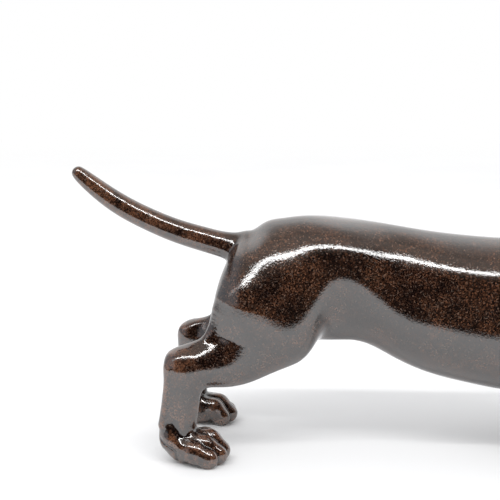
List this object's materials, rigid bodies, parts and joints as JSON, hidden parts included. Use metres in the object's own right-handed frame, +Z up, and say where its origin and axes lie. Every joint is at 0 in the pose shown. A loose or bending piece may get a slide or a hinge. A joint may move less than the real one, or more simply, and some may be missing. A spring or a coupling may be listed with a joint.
{
  "type": "ceramic dog figurine",
  "caption": "Standing glazed ceramic dachshund figurine with a raised tail, drop ears and flat-soled paws.",
  "frame": {"origin": "centre of the bottom of the overall box, on the surface that the four paws stand on", "axes": "+X towards the nose, +Y to the dog's left, +Z up"},
  "size_m": [0.314, 0.0742, 0.1508],
  "materials": {
    "glaze": "polished"
  },
  "bodies": {
    "root": {"trunk": "glaze", "head_neck": "glaze", "tail": "glaze", "left_ear": "glaze", "right_ear": "glaze", "front_left_leg": "glaze", "front_right_leg": "glaze", "hind_left_leg": "glaze", "hind_right_leg": "glaze"}
  },
  "joints": []
}
